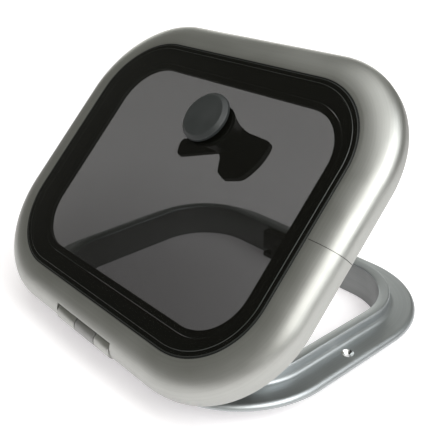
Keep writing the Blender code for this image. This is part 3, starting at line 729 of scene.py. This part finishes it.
def build_hinge():
    half_gap = 0.7 * MM
    pin_bore = 3.3 * MM
    axis_z = CLOSED_HEIGHT - HINGE_DOWN
    flange = -axis_z + 0.3 * MM
    leaf_top = flange + 3.5 * MM
    near = 13.5 * MM
    far = 31 * MM
    leaf_low = (-HINGE_END, near, flange)
    leaf_high = (HINGE_END, far, leaf_top)
    leaf = block(shown("hinge_base_bracket"), leaf_low, leaf_high, ALUMINIUM, HINGE)
    rounded(leaf, 0.7 * MM, 2, 60)
    cheek = [(-3 * MM, -8.5 * MM), (near + 6 * MM, flange + 0.1 * MM)]
    cheek += [(near + 6 * MM, leaf_top - 0.1 * MM), (6.6 * MM, 3.5 * MM)]
    cheek += [(6.6 * MM, -1.5 * MM), (3.6 * MM, -6.2 * MM)]
    parts = []
    left_end = SPLIT_LEFT - half_gap
    right_end = SPLIT_RIGHT + half_gap
    spans = (("left", -HINGE_END, left_end, "low"), ("right", right_end, HINGE_END, "high"))
    for side, low, high, recess in spans:
        web_low = low + 1 * MM
        web_high = high - 1 * MM
        parts.append(prism(f"web_{side}", cheek, web_low, web_high, ALUMINIUM, HINGE, axis="X"))
        parts.append(knuckle(f"knuckle_{side}", low, high, pin_bore, ALUMINIUM, HINGE, recess))
    combine(leaf, "UNION", *parts)
    holes = []
    for number, x in enumerate((-33 * MM, 37 * MM)):
        place = HINGE @ Matrix.Translation((x, 25 * MM, leaf_top + 0.05 * MM))
        hole = screw_hole(4.3 * MM, 2.3 * MM, 0.6 * MM, 9 * MM)
        holes.append(turned(f"leaf_hole_{number}", hole, None, place, 48))
    combine(leaf, "DIFFERENCE", *holes)
    piece(leaf, "base", "satin_aluminium", "hinge_base_bracket")
    for side, x in (("left", -33 * MM), ("right", 37 * MM)):
        place = HINGE @ Matrix.Translation((x, 25 * MM, leaf_top - 0.1 * MM))
        screw(f"hinge_base_screw_{side}", 4 * MM, 2 * MM, 9 * MM, place, "base")

    low = SPLIT_LEFT + half_gap
    high = SPLIT_RIGHT - half_gap
    # The middle knuckle and its arm take the darker copy, painted shade
    bracket = knuckle(shown("hinge_lid_bracket"), low, high, 5.5 * MM, DULL_SHADED_ALUMINIUM, LID)
    top = HINGE_DOWN - SHELF_UNDER - 0.3 * MM
    under = top - 4.2 * MM
    end = HINGE_BACK - SIGHT_D / 2 + 6.7 * MM
    arm = block("arm", (low, 8 * MM, under), (high, end, top), DULL_SHADED_ALUMINIUM, LID)
    rounded(arm, 0.6 * MM, 2, 60)
    combine(bracket, "UNION", arm)
    holes = []
    sides = (("left", low + 8.5 * MM), ("right", high - 8.5 * MM))
    for side, x in sides:
        place = LID @ Matrix.Translation((x, end - 5 * MM, under)) @ UPSIDE_DOWN
        hole = screw_hole(3.9 * MM, 2.1 * MM, 0.6 * MM, 6 * MM)
        holes.append(turned(f"arm_hole_{side}", hole, None, place, 48))
    combine(bracket, "DIFFERENCE", *holes)
    piece(bracket, "lid", "satin_aluminium_dark", "hinge_lid_bracket")
    for side, x in sides:
        place = LID @ Matrix.Translation((x, end - 5 * MM, under + 0.1 * MM)) @ UPSIDE_DOWN
        screw(f"hinge_lid_screw_{side}", 3.6 * MM, 1.8 * MM, 5.8 * MM, place, "lid")

    build_hinge_pin(pin_bore, low, high)


def build_hinge_pin(pin_bore, low, high):
    """The pin, its end caps, the washers between the knuckles, and the bush in the middle one."""
    along = HINGE @ Z_TO_X
    end = HINGE_END - 2.9 * MM
    pin = [(0, -end), (2.6 * MM, -end), (3 * MM, -end + 0.4 * MM)]
    pin += [(3 * MM, end - 0.4 * MM), (2.6 * MM, end), (0, end)]
    piece(turned(shown("hinge_pin"), pin, STAINLESS, along, 48), "base", "stainless", "hinge_pin")
    for side, sign in (("left", -1), ("right", 1)):
        inner = HINGE_END - 2.3 * MM
        outer = HINGE_END - 0.1 * MM
        cap = [(0, sign * inner), (5.2 * MM, sign * inner), (5.2 * MM, sign * (outer - 0.5 * MM))]
        cap += [(5 * MM, sign * (outer - 0.15 * MM)), (4.5 * MM, sign * outer)]
        cap += [(1.4 * MM, sign * outer), (0, sign * (outer - 0.5 * MM))]
        node = f"hinge_cap_{side}"
        piece(turned(shown(node), cap, BLACK, along, 48), "base", "black_plastic", node)
    for side, x in (("left", SPLIT_LEFT), ("right", SPLIT_RIGHT)):
        near = x - 0.4 * MM
        far = x + 0.4 * MM
        ring = [(pin_bore, near), (9.3 * MM, near), (9.4 * MM, near + 0.1 * MM)]
        ring += [(9.4 * MM, far - 0.1 * MM), (9.3 * MM, far), (pin_bore, far)]
        node = f"hinge_washer_{side}"
        made = turned(shown(node), ring, BLACK, along, 64, closed=True)
        piece(made, "base", "black_plastic", node)
    bush = [(pin_bore, low), (5.1 * MM, low), (5.2 * MM, low + 0.2 * MM)]
    bush += [(5.2 * MM, high), (pin_bore, high)]
    made = turned(shown("hinge_bush"), bush, BLACK, along, 48, closed=True)
    piece(made, "lid", "black_plastic", "hinge_bush")


# ---------------------------------------------------------------- handle


def scaled(outline):
    return [(x * MM, y * MM) for x, y in outline]


def lever_outline():
    points = [(-14, -16), (-14, 17)]
    points += [(14.4, 21.9), (18, 22.9), (21, 24.1)]
    points += arc((47.3, 27.2), 6.5, 112, 32, 12)
    points += arc((0, 0), LEVER_R / MM, 26, -9, 24)
    points += arc((44.8, -7.9), 16, -14, -45, 10)
    points += arc((41.5, -28.6), 3, -50, -88, 6)
    points += arc((30.5, -29), 3, -95, -140, 6)
    points += [(17, -22.2), (14.3, -19.9)]
    return scaled(points[::-1])


def square_socket(top):
    """A cutter for the square hole that takes the spindle's flats."""
    half = 4.3 * MM
    return block("socket", (-half, -half, -60 * MM), (half, half, top), None, HANDLE)


def build_lever():
    """The hub, flared up to the pane, and the fishtail grip."""
    hub_top = -PANE_THICK - 2.8 * MM
    hub = [(0, hub_top), (25.5 * MM, hub_top)]
    hub += [(26.2 * MM, hub_top - 0.3 * MM), (26.5 * MM, hub_top - 1 * MM)]
    waist = LEVER_UNDER - 2 * MM
    for step in range(1, 25):
        share = step / 24
        radius = 20 * MM + 6.4 * MM * (1 - share) ** 1.9
        hub.append((radius, hub_top - 1 * MM + (-waist - hub_top + 1 * MM) * share))
    hub += [(20 * MM, -LEVER_UNDER), (0, -LEVER_UNDER)]
    lever = turned(shown("handle_lever"), hub, BLACK, HANDLE, 96)
    turn = HANDLE @ Matrix.Rotation(LEVER_ANGLE, 4, "Z")
    blade = prism("blade", lever_outline(), -LEVER_UNDER + 0.04 * MM, -LEVER_TOP, BLACK, turn)
    rounded(blade, 1.3 * MM, 4, 50)
    combine(lever, "UNION", blade)
    socket = square_socket(-15 * MM)
    seat = [(0, 0), (SPINDLE_R, 0), (SPINDLE_R, -18 * MM), (0, -18 * MM)]
    combine(lever, "DIFFERENCE", socket, turned("seat", seat, None, HANDLE, 64))
    piece(lever, "handle", "black_plastic", "handle_lever")


def build_tongue():
    """The bar with a round end that turns under the keeper."""
    half = 11.6
    outline = arc((0, 0), 14, 56, 304, 40)
    outline += arc((71.5, -half + 8), 8, -90, 0, 12)
    outline += arc((72.5, half - 7), 7, 0, 90, 12)
    turn = HANDLE @ Matrix.Rotation(TONGUE_ANGLE, 4, "Z")
    top = -LEVER_UNDER - 0.3 * MM
    tongue = prism(shown("latch_tongue"), scaled(outline), -TONGUE_UNDER, top, BLACK, turn)
    rounded(tongue, 1 * MM, 4, 50)
    combine(tongue, "DIFFERENCE", square_socket(-40 * MM))
    piece(tongue, "handle", "black_plastic", "latch_tongue")


def build_spindle():
    """The spindle, and what holds lever and tongue on its end."""
    flat = 4 * MM
    end = -TONGUE_UNDER + 0.4 * MM
    shoulder = -17.4 * MM
    rod = [(0, 8 * MM), (5.5 * MM, 8 * MM), (6 * MM, 7.5 * MM), (6 * MM, shoulder)]
    rod += [(3.4 * MM, shoulder), (3.4 * MM, end), (0, end)]
    spindle = turned(shown("spindle"), rod, STAINLESS, HANDLE, 64)
    flats_high = (flat, flat, shoulder + 1 * MM)
    combine(spindle, "UNION", block("flats", (-flat, -flat, end), flats_high, STAINLESS, HANDLE))
    tap = [(0, -40 * MM), (2.5 * MM, -40 * MM), (2.5 * MM, -60 * MM), (0, -60 * MM)]
    combine(spindle, "DIFFERENCE", turned("tap", tap, None, HANDLE, 32))
    piece(spindle, "handle", "stainless", "spindle")

    washer_top = -TONGUE_UNDER - 0.3 * MM
    washer_under = washer_top - 0.8 * MM
    ring = [(2.5 * MM, washer_top), (6.6 * MM, washer_top), (6.8 * MM, washer_top - 0.2 * MM)]
    ring += [(6.8 * MM, washer_under), (2.5 * MM, washer_under)]
    washer = turned(shown("spring_washer"), ring, STAINLESS, HANDLE, 48, closed=True)
    piece(washer, "handle", "stainless", "spring_washer")
    head = washer_under - 0.3 * MM
    bolt = [(0, -41 * MM), (2.2 * MM, -41 * MM), (2.2 * MM, head), (4.6 * MM, head)]
    bolt += [(4.6 * MM, head - 1.4 * MM), (3.6 * MM, head - 2 * MM), (0, head - 2 * MM)]
    made = turned(shown("handle_screw"), bolt, STAINLESS, HANDLE, 48)
    piece(made, "handle", "stainless", "handle_screw")
    under = head - 4 * MM
    cap = [(0, under), (7.6 * MM, under)]
    cap += arc((8 * MM, under + 1.4 * MM), 1.4 * MM, -80, 0, 6)
    cap += [(9.4 * MM, washer_top), (7.5 * MM, washer_top)]
    cap += [(7.5 * MM, head - 2.4 * MM), (0, head - 2.4 * MM)]
    piece(turned(shown("screw_cap"), cap, BLACK, HANDLE, 64), "handle", "black_plastic", "screw_cap")


def build_knob():
    """The outer knob, slightly dished, with its gasket and O-ring."""
    under = 2.6 * MM
    top = 10.6 * MM
    knob = [(0, top - 0.55 * MM), (8 * MM, top - 0.52 * MM)]
    knob += [(16 * MM, top - 0.4 * MM), (22 * MM, top - 0.15 * MM)]
    knob += [(24.6 * MM, top), (25.4 * MM, top - 0.06 * MM)]
    knob += [(26 * MM, top - 0.4 * MM), (28.9 * MM, top - 3.2 * MM)]
    knob += arc((KNOB_R - 2 * MM, top - 4.9 * MM), 2 * MM, 42, 0, 6)
    knob += arc((KNOB_R - 1 * MM, under + 1 * MM), 1 * MM, 0, -90, 5)
    knob += [(SPINDLE_R, under), (SPINDLE_R, 8.3 * MM), (0, 8.3 * MM)]
    made = turned(shown("outer_knob"), knob, GREY, HANDLE, 128)
    piece(made, "handle", "dark_grey_plastic", "outer_knob")
    low = 0.3 * MM
    high = under - 0.3 * MM
    pad = [(9.4 * MM, low), (26.8 * MM, low), (27.2 * MM, low + 0.4 * MM)]
    pad += [(27.2 * MM, high), (9.4 * MM, high)]
    gasket = turned(shown("knob_gasket"), pad, RUBBER, HANDLE, 96, closed=True)
    piece(gasket, "handle", "black_rubber", "knob_gasket")
    cord_r = 0.95 * MM
    loop = arc((SPINDLE_R + cord_r, 0.3 * MM + cord_r), cord_r, 0, 345, 23)
    o_ring = turned(shown("spindle_o_ring"), loop, RUBBER, HANDLE, 64, closed=True)
    piece(o_ring, "handle", "black_rubber", "spindle_o_ring")


def build_bearings():
    """What the handle turns in: the bush in the pane and the plate under it."""
    outer = 9 * MM
    bush = [(SPINDLE_R, -0.1 * MM), (outer, -0.1 * MM), (outer, -9.9 * MM), (SPINDLE_R, -9.9 * MM)]
    made = turned(shown("spindle_bush"), bush, BLACK, HANDLE, 64, closed=True)
    piece(made, "lid", "black_plastic", "spindle_bush")
    high = -PANE_THICK - 0.3 * MM
    low = -PANE_THICK - 2.5 * MM
    plate = [(SPINDLE_R, high), (24.5 * MM, high), (24.5 * MM, low + 0.5 * MM)]
    plate += [(24 * MM, low), (SPINDLE_R, low)]
    made = turned(shown("bearing_plate"), plate, BLACK, HANDLE, 96, closed=True)
    piece(made, "lid", "black_plastic", "bearing_plate")


def finish_hidden_nodes():
    """The two joint keys stay as they are in the CAD and get a finish."""
    for name in ("base_joint_key", "lid_joint_key"):
        mesh = frame["nodes"][name].data
        mesh.materials.clear()
        mesh.materials.append(ZINC)


# ---------------------------------------------------------------- studio


def area_light(name, place, size, power, colour=(1, 1, 1)):
    """A soft rectangular light, turned towards the middle of the object."""
    light = bpy.data.lights.new(name, "AREA")
    light.shape = "RECTANGLE"
    light.size, light.size_y = size
    light.energy = power
    light.color = colour
    made = bpy.data.objects.new(name, light)
    made.location = place
    made.rotation_euler = (Vector(AIM) - Vector(place)).to_track_quat("-Z", "Y").to_euler()
    bpy.context.scene.collection.objects.link(made)


def build_floor():
    """A plain pale floor, a little below the coaming's lower edge."""
    floor = bpy.data.meshes.new("studio_floor")
    wide = 8
    corners = [(-wide, -wide, 0), (wide, -wide, 0), (wide, wide, 0), (-wide, wide, 0)]
    floor.from_pydata(corners, [], [(0, 1, 2, 3)])
    nodes = Nodes("studio_floor_look")
    nodes.set(Roughness=0.9, Specular_IOR_Level=0.1)
    nodes.shader.inputs["Emission Color"].default_value = (1, 0.95, 0.98, 1)
    nodes.shader.inputs["Emission Strength"].default_value = 0.42
    mottle = nodes.noise(3, 2.0, 0.5, nodes.coordinates())
    shade = nodes.shades(nodes.spread(mottle, 0, 1), (0.8, 0.8, 0.8), (0.84, 0.84, 0.84))
    nodes.link(shade, nodes.shader.inputs["Base Color"])
    floor.materials.append(nodes.material)
    ground = bpy.data.objects.new("studio_floor", floor)
    ground.location.z = -0.6 * MM
    bpy.context.scene.collection.objects.link(ground)


def build_lights():
    """A dim surround, a key in three parts on the right, and weak light from behind and above."""
    world = bpy.data.worlds.new("studio_world")
    world.use_nodes = True
    background = world.node_tree.nodes["Background"]
    background.inputs["Color"].default_value = (1, 1, 0.9, 1)
    background.inputs["Strength"].default_value = 0.215
    bpy.context.scene.world = world
    area_light("key_front", (1.85, -0.8, 1.95), (2.4, 1.6), 47, (1, 0.99, 0.97))
    area_light("key_side", (2.3, -0.2, 1.2), (1.4, 1.0), 5, (0.96, 0.98, 1))
    area_light("key_back", (1.7, 0.5, 1.9), (2.4, 1.6), 36, (0.96, 0.98, 1))
    area_light("back_left", (-2.3, 1.95, 0.7), (3.2, 1.2), 24, (1, 1, 0.96))
    area_light("top_soft", (0.1, 0.2, 2.6), (2.2, 2.2), 20)


def build_camera():
    """The camera at the photograph's angle, and plain colour handling."""
    camera = bpy.data.cameras.new("camera")
    camera.lens = CAMERA_LENS
    camera.sensor_width = 36
    camera.clip_start = 0.01
    made = bpy.data.objects.new("camera", camera)
    turn = Matrix.Rotation(math.radians(CAMERA_TURN), 4, "Z")
    dip = Matrix.Rotation(math.radians(90 - CAMERA_DIP), 4, "X")
    roll = Matrix.Rotation(math.radians(CAMERA_ROLL), 4, "Z")
    made.matrix_world = Matrix.Translation(CAMERA_PLACE) @ turn @ dip @ roll
    bpy.context.scene.collection.objects.link(made)
    bpy.context.scene.camera = made
    bpy.context.scene.view_settings.view_transform = "Standard"


build_lid()
build_pane()
build_seals()
build_base()
build_keeper()
build_hinge()
build_lever()
build_tongue()
build_spindle()
build_knob()
build_bearings()
finish_hidden_nodes()
build_floor()
build_lights()
build_camera()
bpy.context.view_layer.update()
